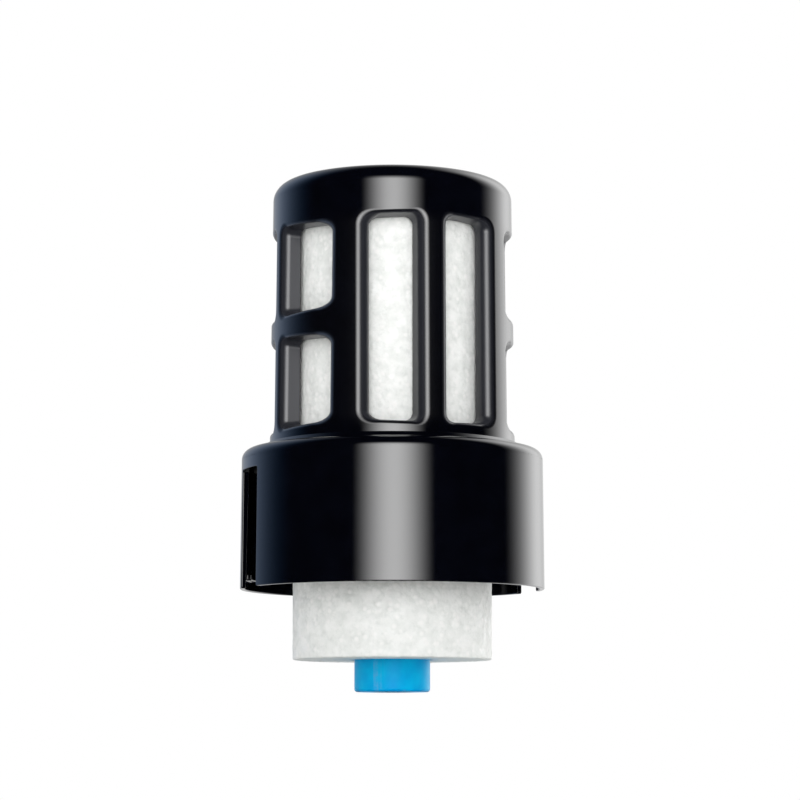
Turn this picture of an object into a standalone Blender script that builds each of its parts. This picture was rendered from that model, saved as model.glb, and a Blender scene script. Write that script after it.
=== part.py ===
"""Filter cartridge of a pump water filter: a windowed cage on a locking collar, holding a porous
pre-filter cup that is slipped over a radial-flow cartridge with a blue outlet stub.

Units are metres, +Z up. The origin is the centre of the outlet stub's end face and +Z is the
common axis of every turned piece. The windows and slots are cut square to the X and Y axes, so the
tall windows face +Y and -Y and the short windows and the collar's slots face +X and -X.
"""

from math import cos, pi, radians, sin, sqrt, tan

import bmesh
import bpy
from mathutils import Vector

MM = 0.001
GAP = 0.3 * MM
ON_AXIS = 0.0
MERGE = 0.00001

# Cage
CAGE_TOP = 84.2 * MM
CAGE_BOTTOM = 37.1 * MM
CAGE_TOP_RADIUS = 19.9 * MM
CAGE_BASE_RADIUS = 20.25 * MM
CAGE_INNER_RADIUS = 16.9 * MM
CAGE_TOP_FILLET = 2.9 * MM
CEILING = 81.9 * MM
CAGE_FLANGE_RADIUS = 22.6 * MM
CAGE_FLANGE_TOP = 38.2 * MM
SOCKET_INNER_RADIUS = 4.7 * MM
SOCKET_OUTER_RADIUS = 6.0 * MM
SOCKET_BOTTOM = 79.6 * MM

# Windows, as measured on the cage's outer face: u is the distance sideways from the quadrant's axis
WINDOW_DRAFT = tan(radians(6.0))
WINDOW_CORNER = 1.4 * MM
WINDOW_SIDE_EDGE = 1.75 * MM
WINDOW_END_EDGE = 0.7 * MM
WINDOW_EDGE_FACETS = 3
WINDOW_CUT_INSIDE = 9.0 * MM
WINDOW_CUT_OUTSIDE = 24.0 * MM
WINDOW_CUT_CLEAR = 0.05 * MM
TALL_WINDOW_U = (2.3 * MM, 9.6 * MM)
TALL_WINDOW_Z = (42.45 * MM, 75.9 * MM)
SHORT_WINDOW_U = (1.95 * MM, 11.8 * MM)
LOWER_WINDOW_Z = (42.45 * MM, 56.9 * MM)
UPPER_WINDOW_Z = (60.95 * MM, 75.3 * MM)

# Locking collar
COLLAR_TOP = 39.75 * MM
COLLAR_RIM = 16.7 * MM
COLLAR_TOP_RADIUS = 24.85 * MM
COLLAR_RIM_RADIUS = 25.0 * MM
COLLAR_FILLET = 1.8 * MM
LIP_TOP = 40.6 * MM
LIP_WIDTH = 0.25 * MM
LIP_SLOPE = 0.6 * MM
COLLAR_BORE_RADIUS = CAGE_BASE_RADIUS + GAP
SHOULDER_UNDERSIDE = CAGE_FLANGE_TOP + GAP
SHOULDER_WALL = 1.1 * MM
RIM_WALL = 0.8 * MM
RIM_ROUND = 0.15 * MM
SLOT_HALF_WIDTH = 3.95 * MM
SLOT_TOP = 36.0 * MM
LUG_ANGLE = radians(29.0)
LUG_SIZE = (1.6 * MM, 4.2 * MM, 1.1 * MM)
LUG_HEIGHT = 2.2 * MM
LUG_PROUD = 0.9 * MM

# Collar gasket
GASKET_TOP = CAGE_BOTTOM - GAP
GASKET_BOTTOM = 36.0 * MM
GASKET_INNER_RADIUS = 17.2 * MM
GASKET_OUTER_RADIUS = 22.9 * MM

# Pre-filter sleeve, a cup with a hole in its floor
SLEEVE_TOP = 77.8 * MM
SLEEVE_BOTTOM = 5.2 * MM
SLEEVE_FLOOR = 9.85 * MM
SLEEVE_RADIUS = 16.35 * MM
SLEEVE_BORE_RADIUS = 10.3 * MM
SLEEVE_HOLE_RADIUS = 6.55 * MM
SLEEVE_ROUND = 0.35 * MM

# Inner cartridge
CAP_RADIUS = 10.0 * MM
CAP_RIM_INNER_RADIUS = 9.3 * MM
CAP_FLOOR = 2.0 * MM
CAP_RIM_HEIGHT = 2.0 * MM
LOWER_CAP_BOTTOM = SLEEVE_FLOOR + GAP
UPPER_CAP_TOP = SLEEVE_TOP + GAP
FLANGE_RADIUS = 15.6 * MM
FLANGE_TOP = 79.3 * MM
BOSS_RADIUS = 4.0 * MM
BOSS_TOP = 81.6 * MM
BOSS_GROOVE_RADIUS = 3.1 * MM
BOSS_GROOVE_Z = (79.85 * MM, 81.15 * MM)
CORE_INNER_RADIUS = 3.2 * MM
CORE_OUTER_RADIUS = 4.5 * MM
BLOCK_INNER_RADIUS = 4.8 * MM
BLOCK_OUTER_RADIUS = 9.0 * MM
WRAP_INNER_RADIUS = 9.3 * MM
WRAP_OUTER_RADIUS = 9.8 * MM
CORE_HOLE_RADIUS = 1.1 * MM
CORE_HOLE_ROWS = 9

# Outlet stub and the rings
STUB_RADIUS = 6.2 * MM
STUB_SHOULDER = 9.7 * MM
STUB_TOP = 16.6 * MM
STUB_BORE_RADIUS = 3.2 * MM
STUB_ROUND = 0.5 * MM
SPIGOT_RADIUS = 4.9 * MM
SPIGOT_GROOVE_RADIUS = 4.0 * MM
SPIGOT_GROOVE_Z = (11.6 * MM, 13.0 * MM)
CAP_SOCKET_RADIUS = 5.5 * MM
CAP_SOCKET_TOP = 17.0 * MM
CAP_SOCKET_OUTER_RADIUS = 7.0 * MM
RING_SECTION_RADIUS = 0.45 * MM

ROUND_STEPS = 64
INNER_STEPS = 32
SHARP_ANGLE = radians(35)


def clear_scene():
    for item in list(bpy.data.objects):
        bpy.data.objects.remove(item, do_unlink=True)
    for group in list(bpy.data.collections):
        bpy.data.collections.remove(group)


def new_collection(name, parent=None):
    group = bpy.data.collections.new(name)
    (parent or bpy.context.scene.collection).children.link(group)
    return group


def plastic(name, colour, roughness):
    material = bpy.data.materials.new(name)
    material.use_nodes = True
    shader = material.node_tree.nodes["Principled BSDF"]
    shader.inputs["Base Color"].default_value = (*colour, 1.0)
    shader.inputs["Roughness"].default_value = roughness
    shader.inputs["Metallic"].default_value = 0.0
    material.diffuse_color = (*colour, 1.0)
    return material


def empty_frame(name, height, group):
    """An empty on the common axis that carries the pieces of one moving body."""
    frame = bpy.data.objects.new(name, None)
    frame.location = (0.0, 0.0, height)
    group.objects.link(frame)
    return frame


def add_object(name, mesh, group, frame=None, material=None):
    piece = bpy.data.objects.new(name, mesh)
    group.objects.link(piece)
    if material:
        mesh.materials.append(material)
    if frame:
        piece.parent = frame
    return piece


def arc(centre_radius, centre_height, radius, start, end, points):
    """Points of a profile's round stretch, from one angle to another in degrees."""
    angles = [radians(start + (end - start) * i / (points - 1)) for i in range(points)]
    return [(centre_radius + radius * cos(a), centre_height + radius * sin(a)) for a in angles]


def turned(name, profile, steps, group, frame=None, material=None, closed=False):
    """A solid turned about Z. The profile runs down its outer side, in (radius, height) pairs."""
    base = frame.location.z if frame else 0.0
    mesh = bpy.data.meshes.new(name)
    edges = [(i, i + 1) for i in range(len(profile) - 1)]
    if closed:
        edges.append((len(profile) - 1, 0))
    mesh.from_pydata([(radius, 0.0, height - base) for radius, height in profile], edges, [])
    piece = add_object(name, mesh, group, frame, material)
    screw = piece.modifiers.new("turn", "SCREW")
    screw.steps = steps
    screw.render_steps = steps
    screw.use_merge_vertices = True
    screw.merge_threshold = MERGE
    screw.use_smooth_shade = True
    return piece


def cut(piece, cutters, operation="DIFFERENCE"):
    boolean = piece.modifiers.new(operation.lower(), "BOOLEAN")
    boolean.operation = operation
    boolean.operand_type = "COLLECTION"
    boolean.collection = cutters
    boolean.solver = "EXACT"
    return boolean


def soften(piece):
    """Smooth shading that keeps the real edges sharp."""
    smooth = piece.modifiers.new("smooth", "NODES")
    smooth.node_group = smooth_group()


def smooth_group():
    """A node group that marks edges over the sharp angle, made once."""
    found = bpy.data.node_groups.get("smooth_by_angle")
    if found:
        return found
    group = bpy.data.node_groups.new("smooth_by_angle", "GeometryNodeTree")
    group.interface.new_socket("Geometry", in_out="INPUT", socket_type="NodeSocketGeometry")
    group.interface.new_socket("Geometry", in_out="OUTPUT", socket_type="NodeSocketGeometry")
    start = group.nodes.new("NodeGroupInput")
    end = group.nodes.new("NodeGroupOutput")
    angle = group.nodes.new("GeometryNodeInputMeshEdgeAngle")
    compare = group.nodes.new("FunctionNodeCompare")
    compare.operation = "LESS_EQUAL"
    compare.inputs["B"].default_value = SHARP_ANGLE
    smooth = group.nodes.new("GeometryNodeSetShadeSmooth")
    smooth.domain = "EDGE"
    link = group.links.new
    link(angle.outputs["Unsigned Angle"], compare.inputs["A"])
    link(start.outputs["Geometry"], smooth.inputs["Geometry"])
    link(compare.outputs["Result"], smooth.inputs["Shade Smooth"])
    link(smooth.outputs["Geometry"], end.inputs["Geometry"])
    return group


def finished_cutter(name, shape, group):
    mesh = bpy.data.meshes.new(name)
    shape.to_mesh(mesh)
    shape.free()
    cutter = add_object(name, mesh, group)
    cutter.hide_render = True
    cutter.display_type = "WIRE"
    return cutter


def box_cutter(name, corners, group):
    """A cutter from a cube whose corners are placed by corners(x_end, y_end, z_end), each end -1 or 1."""
    shape = bmesh.new()
    bmesh.ops.create_cube(shape, size=2.0)
    for vertex in shape.verts:
        vertex.co = corners(*(round(value) for value in vertex.co))
    return finished_cutter(name, shape, group)


def window_wall(u_range, z_range, ends, angle, depth):
    """The place across and up, at a depth, of a window's drafted wall. It is on the rounded corner at
    these ends (0 is near or low, 1 is far or high), where the wall's material lies towards the angle."""
    near_depth, far_depth = (sqrt(CAGE_TOP_RADIUS**2 - u**2) for u in u_range)
    mean_depth = (near_depth + far_depth) / 2
    inset = (WINDOW_CORNER + WINDOW_DRAFT * (near_depth - depth),
             WINDOW_CORNER + WINDOW_DRAFT * (far_depth - depth))
    rise = WINDOW_CORNER + WINDOW_DRAFT * (mean_depth - depth)
    across = u_range[1] - inset[1] if ends[0] else u_range[0] + inset[0]
    up = z_range[1] - rise if ends[1] else z_range[0] + rise
    return across + WINDOW_CORNER * cos(angle), up + WINDOW_CORNER * sin(angle)


def window_line(u_range, z_range, ends, angle):
    """Places (across, depth, up) on one line down a window's wall, from inside the cage to outside it,
    with the outer edge rounded in facets, more at the window's sides than at its ends."""
    edge = WINDOW_SIDE_EDGE * cos(angle) ** 2 + WINDOW_END_EDGE * sin(angle) ** 2
    line = [(*window_wall(u_range, z_range, ends, angle, WINDOW_CUT_INSIDE), WINDOW_CUT_INSIDE)]
    depth = CAGE_INNER_RADIUS
    for _ in range(6):
        across, up = window_wall(u_range, z_range, ends, angle, depth)
        centre = Vector((across + edge * cos(angle), up + edge * sin(angle), 0))
        share = (centre.y - LIP_TOP) / (CAGE_TOP - CAGE_TOP_FILLET - LIP_TOP)
        radius = CAGE_BASE_RADIUS + (CAGE_TOP_RADIUS - CAGE_BASE_RADIUS) * share
        depth = sqrt((radius - edge) ** 2 - centre.x**2)
    centre.z = depth
    on_wall = Vector((-cos(angle), -sin(angle), 0))
    on_face = Vector((centre.x, 0, depth)).normalized()
    for step in range(WINDOW_EDGE_FACETS + 1):
        facing = on_wall.slerp(on_face, step / WINDOW_EDGE_FACETS)
        reach = edge + (WINDOW_CUT_CLEAR if step == WINDOW_EDGE_FACETS else 0)
        line.append(tuple(centre + facing * reach))
    return [*line, (line[-1][0], line[-1][1], WINDOW_CUT_OUTSIDE)]


def window_cutter(name, u_range, z_range, side, group):
    """A cutter for a window along -Y. Side 1 is the window to the right of the quadrant's axis, -1 the
    one to its left."""
    corners = ((1, 0), (1, 1), (0, 1), (0, 0))
    shape = bmesh.new()
    lines = []
    for turn, ends in enumerate(corners):
        for step in range(5):
            angle = (turn - 1) * pi / 2 + step * pi / 8
            line = window_line(u_range, z_range, ends, angle)
            lines.append([shape.verts.new((side * across, -depth, up)) for across, up, depth in line])
    for line, following in zip(lines, lines[1:] + lines[:1]):
        for i in range(len(line) - 1):
            shape.faces.new((line[i], following[i], following[i + 1], line[i + 1]))
    shape.faces.new([line[0] for line in lines])
    shape.faces.new([line[-1] for line in lines])
    bmesh.ops.recalc_face_normals(shape, faces=shape.faces)
    return finished_cutter(name, shape, group)


def window_cutters(group):
    """Two windows side by side in each quadrant: tall ones facing Y, short ones facing X."""
    quadrants = (
        (0, TALL_WINDOW_U, {"tall": TALL_WINDOW_Z}),
        (90, SHORT_WINDOW_U, {"upper": UPPER_WINDOW_Z, "lower": LOWER_WINDOW_Z}),
        (180, TALL_WINDOW_U, {"tall": TALL_WINDOW_Z}),
        (270, SHORT_WINDOW_U, {"upper": UPPER_WINDOW_Z, "lower": LOWER_WINDOW_Z}),
    )
    for turn, u_range, heights in quadrants:
        for label, z_range in heights.items():
            for side in (1, -1):
                name = f"{label}_window_{turn}_{'right' if side > 0 else 'left'}"
                cutter = window_cutter(name, u_range, z_range, side, group)
                cutter.rotation_euler.z = radians(turn)


def cage(group, frame, material):
    top_arc = arc(
        CAGE_TOP_RADIUS - CAGE_TOP_FILLET, CAGE_TOP - CAGE_TOP_FILLET, CAGE_TOP_FILLET, 90, 0, 9
    )
    profile = [
        (ON_AXIS, CAGE_TOP),
        *top_arc,
        (CAGE_BASE_RADIUS, LIP_TOP),
        (CAGE_BASE_RADIUS, CAGE_FLANGE_TOP),
        (CAGE_FLANGE_RADIUS, CAGE_FLANGE_TOP),
        (CAGE_FLANGE_RADIUS, CAGE_BOTTOM),
        (CAGE_INNER_RADIUS, CAGE_BOTTOM),
        (CAGE_INNER_RADIUS, CEILING),
        (SOCKET_OUTER_RADIUS, CEILING),
        (SOCKET_OUTER_RADIUS, SOCKET_BOTTOM),
        (SOCKET_INNER_RADIUS, SOCKET_BOTTOM),
        (SOCKET_INNER_RADIUS, CEILING),
        (ON_AXIS, CEILING),
    ]
    return turned("cage", profile, ROUND_STEPS, group, frame, material)


def locking_collar(group, frame, material):
    """A skirt under a rounded shoulder, with a low tapered lip round the cage's wall."""
    inner_top_radius = COLLAR_TOP_RADIUS - SHOULDER_WALL
    inner_fillet = COLLAR_FILLET - SHOULDER_WALL
    shoulder_arc = arc(
        COLLAR_TOP_RADIUS - COLLAR_FILLET, COLLAR_TOP - COLLAR_FILLET, COLLAR_FILLET, 90, 0, 7
    )
    inner_arc = arc(
        inner_top_radius - inner_fillet, SHOULDER_UNDERSIDE - inner_fillet, inner_fillet, 0, 90, 4
    )
    lip_radius = COLLAR_BORE_RADIUS + LIP_WIDTH
    profile = [
        (COLLAR_BORE_RADIUS, LIP_TOP),
        (lip_radius, LIP_TOP),
        (lip_radius + LIP_SLOPE, COLLAR_TOP),
        *shoulder_arc,
        (COLLAR_RIM_RADIUS, COLLAR_RIM + RIM_ROUND),
        (COLLAR_RIM_RADIUS - RIM_ROUND, COLLAR_RIM),
        (COLLAR_RIM_RADIUS - RIM_WALL + RIM_ROUND, COLLAR_RIM),
        (COLLAR_RIM_RADIUS - RIM_WALL, COLLAR_RIM + RIM_ROUND),
        *inner_arc,
        (COLLAR_BORE_RADIUS, SHOULDER_UNDERSIDE),
    ]
    return turned("locking_collar", profile, ROUND_STEPS, group, frame, material, closed=True)


def slot_cutters(group):
    """The two slots in the collar's skirt, open at the rim."""
    inside = COLLAR_TOP_RADIUS - 4 * MM
    outside = COLLAR_RIM_RADIUS + 2 * MM

    def corner(x_end, y_end, z_end):
        x = outside if x_end > 0 else inside
        return (x, y_end * SLOT_HALF_WIDTH, SLOT_TOP if z_end > 0 else COLLAR_RIM - 2 * MM)

    for name, turn in (("slot_right", 0.0), ("slot_left", pi)):
        box_cutter(name, corner, group).rotation_euler.z = turn


def lug_shapes(group):
    """Two lugs on the collar's inner wall near the rim, which catch behind the pump's foot."""
    radial, across, tall = LUG_SIZE
    wall = COLLAR_RIM_RADIUS - RIM_WALL
    middle = wall - LUG_PROUD + radial / 2

    def corner(x_end, y_end, z_end):
        height = COLLAR_RIM + LUG_HEIGHT + z_end * tall / 2
        return (middle + x_end * radial / 2, y_end * across / 2, height)

    for name, turn in (("lug_left", pi - LUG_ANGLE), ("lug_right", -LUG_ANGLE)):
        box_cutter(name, corner, group).rotation_euler.z = turn


def ring_of(name, radius_out, radius_in, top, bottom, steps, group, frame, material):
    profile = [(radius_in, top), (radius_out, top), (radius_out, bottom), (radius_in, bottom)]
    return turned(name, profile, steps, group, frame, material, closed=True)


def prefilter_sleeve(group, frame, material):
    bottom_arc = arc(
        SLEEVE_RADIUS - SLEEVE_ROUND, SLEEVE_BOTTOM + SLEEVE_ROUND, SLEEVE_ROUND, 0, -90, 4
    )
    profile = [
        (SLEEVE_BORE_RADIUS, SLEEVE_TOP),
        (SLEEVE_RADIUS, SLEEVE_TOP),
        *bottom_arc,
        (SLEEVE_HOLE_RADIUS, SLEEVE_BOTTOM),
        (SLEEVE_HOLE_RADIUS, SLEEVE_FLOOR),
        (SLEEVE_BORE_RADIUS, SLEEVE_FLOOR),
    ]
    return turned("prefilter_sleeve", profile, ROUND_STEPS, group, frame, material, closed=True)


def upper_end_cap(group, frame, material):
    """Closes the cartridge's top, covers the sleeve's top and plugs into the cage's socket."""
    underside = UPPER_CAP_TOP - CAP_FLOOR
    profile = [
        (ON_AXIS, BOSS_TOP),
        (BOSS_RADIUS, BOSS_TOP),
        (BOSS_RADIUS, BOSS_GROOVE_Z[1]),
        (BOSS_GROOVE_RADIUS, BOSS_GROOVE_Z[1]),
        (BOSS_GROOVE_RADIUS, BOSS_GROOVE_Z[0]),
        (BOSS_RADIUS, BOSS_GROOVE_Z[0]),
        (BOSS_RADIUS, FLANGE_TOP),
        (FLANGE_RADIUS, FLANGE_TOP),
        (FLANGE_RADIUS, UPPER_CAP_TOP),
        (CAP_RADIUS, UPPER_CAP_TOP),
        (CAP_RADIUS, underside - CAP_RIM_HEIGHT),
        (CAP_RIM_INNER_RADIUS, underside - CAP_RIM_HEIGHT),
        (CAP_RIM_INNER_RADIUS, underside),
        (ON_AXIS, underside),
    ]
    return turned("upper_end_cap", profile, INNER_STEPS, group, frame, material)


def lower_end_cap(group, frame, material):
    """Closes the cartridge's lower end, with the socket that takes the outlet stub's spigot."""
    upper_side = LOWER_CAP_BOTTOM + CAP_FLOOR
    profile = [
        (CAP_RIM_INNER_RADIUS, upper_side + CAP_RIM_HEIGHT),
        (CAP_RADIUS, upper_side + CAP_RIM_HEIGHT),
        (CAP_RADIUS, LOWER_CAP_BOTTOM),
        (CAP_SOCKET_RADIUS, LOWER_CAP_BOTTOM),
        (CAP_SOCKET_RADIUS, CAP_SOCKET_TOP),
        (STUB_BORE_RADIUS, CAP_SOCKET_TOP),
        (STUB_BORE_RADIUS, CAP_SOCKET_TOP + 1.2 * MM),
        (CAP_SOCKET_OUTER_RADIUS, CAP_SOCKET_TOP + 1.2 * MM),
        (CAP_SOCKET_OUTER_RADIUS, upper_side),
        (CAP_RIM_INNER_RADIUS, upper_side),
    ]
    return turned("lower_end_cap", profile, INNER_STEPS, group, frame, material, closed=True)


def media_block(group, frame, material):
    """The annular filter block, counterbored at its foot to clear the lower cap's socket."""
    top = UPPER_CAP_TOP - CAP_FLOOR - GAP
    bottom = LOWER_CAP_BOTTOM + CAP_FLOOR + GAP
    counterbore_top = CAP_SOCKET_TOP + 1.2 * MM + GAP
    profile = [
        (BLOCK_INNER_RADIUS, top),
        (BLOCK_OUTER_RADIUS, top),
        (BLOCK_OUTER_RADIUS, bottom),
        (CAP_SOCKET_OUTER_RADIUS + GAP, bottom),
        (CAP_SOCKET_OUTER_RADIUS + GAP, counterbore_top),
        (BLOCK_INNER_RADIUS, counterbore_top),
    ]
    return turned("media_block", profile, INNER_STEPS, group, frame, material, closed=True)


def core_hole_cutters(group, low, high):
    """Square-on pairs of cross holes through the core tube, turned a quarter from row to row."""
    for row in range(CORE_HOLE_ROWS):
        height = low + (high - low) * (row + 0.5) / CORE_HOLE_ROWS
        shape = bmesh.new()
        bmesh.ops.create_cone(
            shape,
            cap_ends=True,
            segments=10,
            radius1=CORE_HOLE_RADIUS,
            radius2=CORE_HOLE_RADIUS,
            depth=2 * CORE_OUTER_RADIUS + 2 * MM,
        )
        mesh = bpy.data.meshes.new(f"core_hole_{row}")
        shape.to_mesh(mesh)
        shape.free()
        cutter = add_object(f"core_hole_{row}", mesh, group)
        cutter.location = (0.0, 0.0, height)
        cutter.rotation_euler = (pi / 2, 0.0, pi / 2 * (row % 2))
        cutter.hide_render = True
        cutter.display_type = "WIRE"


def outlet_stub(group, frame, material):
    end_arc = arc(STUB_RADIUS - STUB_ROUND, STUB_ROUND, STUB_ROUND, 0, -90, 4)
    profile = [
        (STUB_BORE_RADIUS, STUB_TOP),
        (SPIGOT_RADIUS, STUB_TOP),
        (SPIGOT_RADIUS, SPIGOT_GROOVE_Z[1]),
        (SPIGOT_GROOVE_RADIUS, SPIGOT_GROOVE_Z[1]),
        (SPIGOT_GROOVE_RADIUS, SPIGOT_GROOVE_Z[0]),
        (SPIGOT_RADIUS, SPIGOT_GROOVE_Z[0]),
        (SPIGOT_RADIUS, STUB_SHOULDER),
        (STUB_RADIUS, STUB_SHOULDER),
        *end_arc,
        (STUB_BORE_RADIUS, 0.0),
    ]
    return turned("outlet_stub", profile, INNER_STEPS, group, frame, material, closed=True)


def seal_ring(name, radius, height, group, frame, material):
    """A round-section rubber ring whose section is centred at the given radius and height."""
    mesh = bpy.data.meshes.new(name)
    shape = bmesh.new()
    bmesh.ops.create_circle(shape, segments=8, radius=RING_SECTION_RADIUS)
    for vertex in shape.verts:
        vertex.co = (radius + vertex.co.x, 0.0, vertex.co.y)
    shape.to_mesh(mesh)
    shape.free()
    ring = add_object(name, mesh, group, frame, material)
    ring.location.z = height - frame.location.z
    screw = ring.modifiers.new("turn", "SCREW")
    screw.steps = INNER_STEPS
    screw.render_steps = INNER_STEPS
    screw.use_merge_vertices = True
    screw.merge_threshold = MERGE
    screw.use_smooth_shade = True
    return ring


def build_housing(group, cutters):
    frame = empty_frame("housing_frame", COLLAR_RIM, group)
    cage_piece = cage(group, frame, plastic("cage_black", (0.008, 0.009, 0.014), 0.12))
    windows = new_collection("window_cutters", cutters)
    window_cutters(windows)
    cut(cage_piece, windows)
    soften(cage_piece)

    collar = locking_collar(group, frame, plastic("collar_black", (0.008, 0.009, 0.014), 0.10))
    lugs = new_collection("lug_shapes", cutters)
    lug_shapes(lugs)
    cut(collar, lugs, "UNION")
    slots = new_collection("slot_cutters", cutters)
    slot_cutters(slots)
    cut(collar, slots)
    soften(collar)

    rubber = plastic("gasket_rubber", (0.03, 0.03, 0.03), 0.6)
    ring_of(
        "collar_gasket", GASKET_OUTER_RADIUS, GASKET_INNER_RADIUS, GASKET_TOP, GASKET_BOTTOM,
        ROUND_STEPS, group, frame, rubber,
    )


def build_cartridge(group, cutters):
    frame = empty_frame("cartridge_frame", LOWER_CAP_BOTTOM, group)
    core_top = UPPER_CAP_TOP - CAP_FLOOR - GAP
    core_bottom = CAP_SOCKET_TOP + 1.2 * MM + GAP
    upper_end_cap(group, frame, plastic("cap_white", (0.75, 0.76, 0.76), 0.4))
    lower_end_cap(group, frame, plastic("lower_cap_white", (0.75, 0.76, 0.76), 0.4))
    media_block(group, frame, plastic("block_carbon", (0.02, 0.02, 0.02), 0.9))
    ring_of(
        "media_wrap", WRAP_OUTER_RADIUS, WRAP_INNER_RADIUS,
        core_top - CAP_RIM_HEIGHT - GAP, LOWER_CAP_BOTTOM + CAP_FLOOR + CAP_RIM_HEIGHT + GAP,
        INNER_STEPS, group, frame, plastic("wrap_fleece", (0.8, 0.8, 0.78), 0.95),
    )
    core = ring_of(
        "core_tube", CORE_OUTER_RADIUS, CORE_INNER_RADIUS, core_top, core_bottom,
        INNER_STEPS, group, frame, plastic("core_natural", (0.7, 0.7, 0.68), 0.5),
    )
    holes = new_collection("core_hole_cutters", cutters)
    core_hole_cutters(holes, core_bottom, core_top)
    cut(core, holes)
    soften(core)
    outlet_stub(group, frame, plastic("stub_blue", (0.0, 0.29, 0.66), 0.35))
    seal = plastic("seal_rubber", (0.03, 0.03, 0.03), 0.5)
    seal_ring(
        "outlet_o_ring", (SPIGOT_GROOVE_RADIUS + CAP_SOCKET_RADIUS) / 2,
        sum(SPIGOT_GROOVE_Z) / 2, group, frame, seal,
    )
    grip = plastic("grip_rubber", (0.03, 0.03, 0.03), 0.5)
    seal_ring(
        "boss_grip_ring", (BOSS_GROOVE_RADIUS + SOCKET_INNER_RADIUS) / 2,
        sum(BOSS_GROOVE_Z) / 2, group, frame, grip,
    )


def build_sleeve(group):
    frame = empty_frame("sleeve_frame", SLEEVE_BOTTOM, group)
    prefilter_sleeve(group, frame, plastic("sleeve_porous_white", (0.86, 0.87, 0.85), 0.9))


def main():
    clear_scene()
    group = new_collection("pump_water_filter")
    cutters = new_collection("cutters")
    build_housing(group, cutters)
    build_cartridge(group, cutters)
    build_sleeve(group)


main()
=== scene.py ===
"""Looks of the pump water filter: fine surfaces, materials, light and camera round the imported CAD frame.

Lengths are in metres. A place round the common axis is an angle from -Y towards +X. The cage has a
quadrant of tall windows facing -Y and one facing +Y, and quadrants of short windows facing +X and -X.
"""

from math import atan2, ceil, cos, hypot, pi, radians, sin, sqrt, tan

import bpy
import numpy as np
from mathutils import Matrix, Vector, noise
from mathutils.geometry import delaunay_2d_cdt


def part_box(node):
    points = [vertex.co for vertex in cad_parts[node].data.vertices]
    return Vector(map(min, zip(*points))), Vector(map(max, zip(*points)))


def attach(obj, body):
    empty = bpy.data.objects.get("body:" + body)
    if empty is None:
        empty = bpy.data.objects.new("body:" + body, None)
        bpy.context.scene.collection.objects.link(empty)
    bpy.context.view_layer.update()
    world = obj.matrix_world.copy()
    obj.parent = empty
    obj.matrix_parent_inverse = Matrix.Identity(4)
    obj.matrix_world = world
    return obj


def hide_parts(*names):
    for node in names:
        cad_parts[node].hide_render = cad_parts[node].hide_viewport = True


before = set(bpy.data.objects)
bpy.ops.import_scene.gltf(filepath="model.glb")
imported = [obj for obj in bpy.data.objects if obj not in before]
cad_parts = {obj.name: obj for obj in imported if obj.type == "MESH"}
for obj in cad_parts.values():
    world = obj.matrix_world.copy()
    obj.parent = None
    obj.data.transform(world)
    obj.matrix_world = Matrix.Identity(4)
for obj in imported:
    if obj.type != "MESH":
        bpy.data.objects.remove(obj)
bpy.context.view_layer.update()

MM = 0.001
SNAP = 1e-7

# Camera and studio
CAMERA_AZIMUTH = radians(-19.7)
CAMERA_DISTANCE = 0.44
CAMERA_HEIGHT = -0.00809
CAMERA_PITCH = radians(7.285)
CAMERA_YAW = radians(0.165)
CAMERA_LENS = 120.38
CAMERA_SENSOR = 36.0
CAMERA_CLIP_START = 0.01
FLOOR_RADIUS = 0.9
FLOOR_SIDES = 128
FLOOR_FADE = (0.4 * FLOOR_RADIUS, 0.95 * FLOOR_RADIUS)
FLOOR_COLOUR = (0.92, 0.92, 0.91, 1.0)
FLOOR_ROUGHNESS = 0.7

# Light. A softbox is ((azimuth, elevation), (half width, edge), (half height, edge), power in gloss,
# power in diffuse light, tint in gloss). Its angles are in degrees: azimuth 0 is the camera's side and
# 90 is to its right, and an edge is half the width of the fade.
WHITE = (1.0, 1.0, 1.0)
BLUE = (0.35, 0.9, 1.9)
SOFTBOXES = (
    ((1.0, 3.0), (16.0, 15.5), (21.0, 16.0), 10.8, 5.6, WHITE),
    ((128.0, 10.0), (18.0, 17.0), (45.0, 20.0), 2.5, 1.4, WHITE),
    ((152.0, 10.0), (22.0, 22.0), (45.0, 20.0), 0.7, 0.5, WHITE),
    ((180.0, 10.0), (60.0, 30.0), (50.0, 20.0), 0.5, 0.5, WHITE),
    ((-128.0, 10.0), (26.0, 24.0), (45.0, 20.0), 0.24, 0.3, BLUE),
)
AMBIENT_GLOSS = 0.004
AMBIENT_DIFFUSE = 0.6

# Sizes read from the frame
CAGE_LOW, CAGE_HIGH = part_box("cage")
COLLAR_LOW, COLLAR_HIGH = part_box("locking_collar")
GASKET_LOW, GASKET_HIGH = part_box("collar_gasket")
SLEEVE_LOW, SLEEVE_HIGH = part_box("prefilter_sleeve")
UPPER_LOW, UPPER_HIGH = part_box("upper_end_cap")
LOWER_LOW, LOWER_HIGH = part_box("lower_end_cap")
BLOCK_LOW, BLOCK_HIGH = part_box("media_block")
WRAP_LOW, WRAP_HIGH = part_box("media_wrap")
STUB_LOW, STUB_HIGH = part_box("outlet_stub")
GRIP_LOW, GRIP_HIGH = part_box("boss_grip_ring")
SEAL_LOW, SEAL_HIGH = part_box("outlet_o_ring")

# The CAD's gap between touching pieces
CAD_GAP = 0.3 * MM

# Cage
CAGE_TOP_RADIUS = 19.9 * MM
CAGE_BASE_RADIUS = 20.25 * MM
CAGE_INNER_RADIUS = 16.9 * MM
CAGE_TOP_FILLET = 2.9 * MM
CAGE_EDGE = 0.2 * MM
CEILING = 81.9 * MM
CEILING_FILLET = 0.4 * MM
FLANGE_TOP = 38.2 * MM
SOCKET_INNER_RADIUS = 4.7 * MM
SOCKET_OUTER_RADIUS = 6.0 * MM
SOCKET_BOTTOM = 79.6 * MM
SOCKET_FILLET = 0.3 * MM
BAND_Z = (39.6 * MM, 79.6 * MM)
TALL_HALF = radians(40.5)
SHORT_HALF = radians(49.5)

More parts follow.
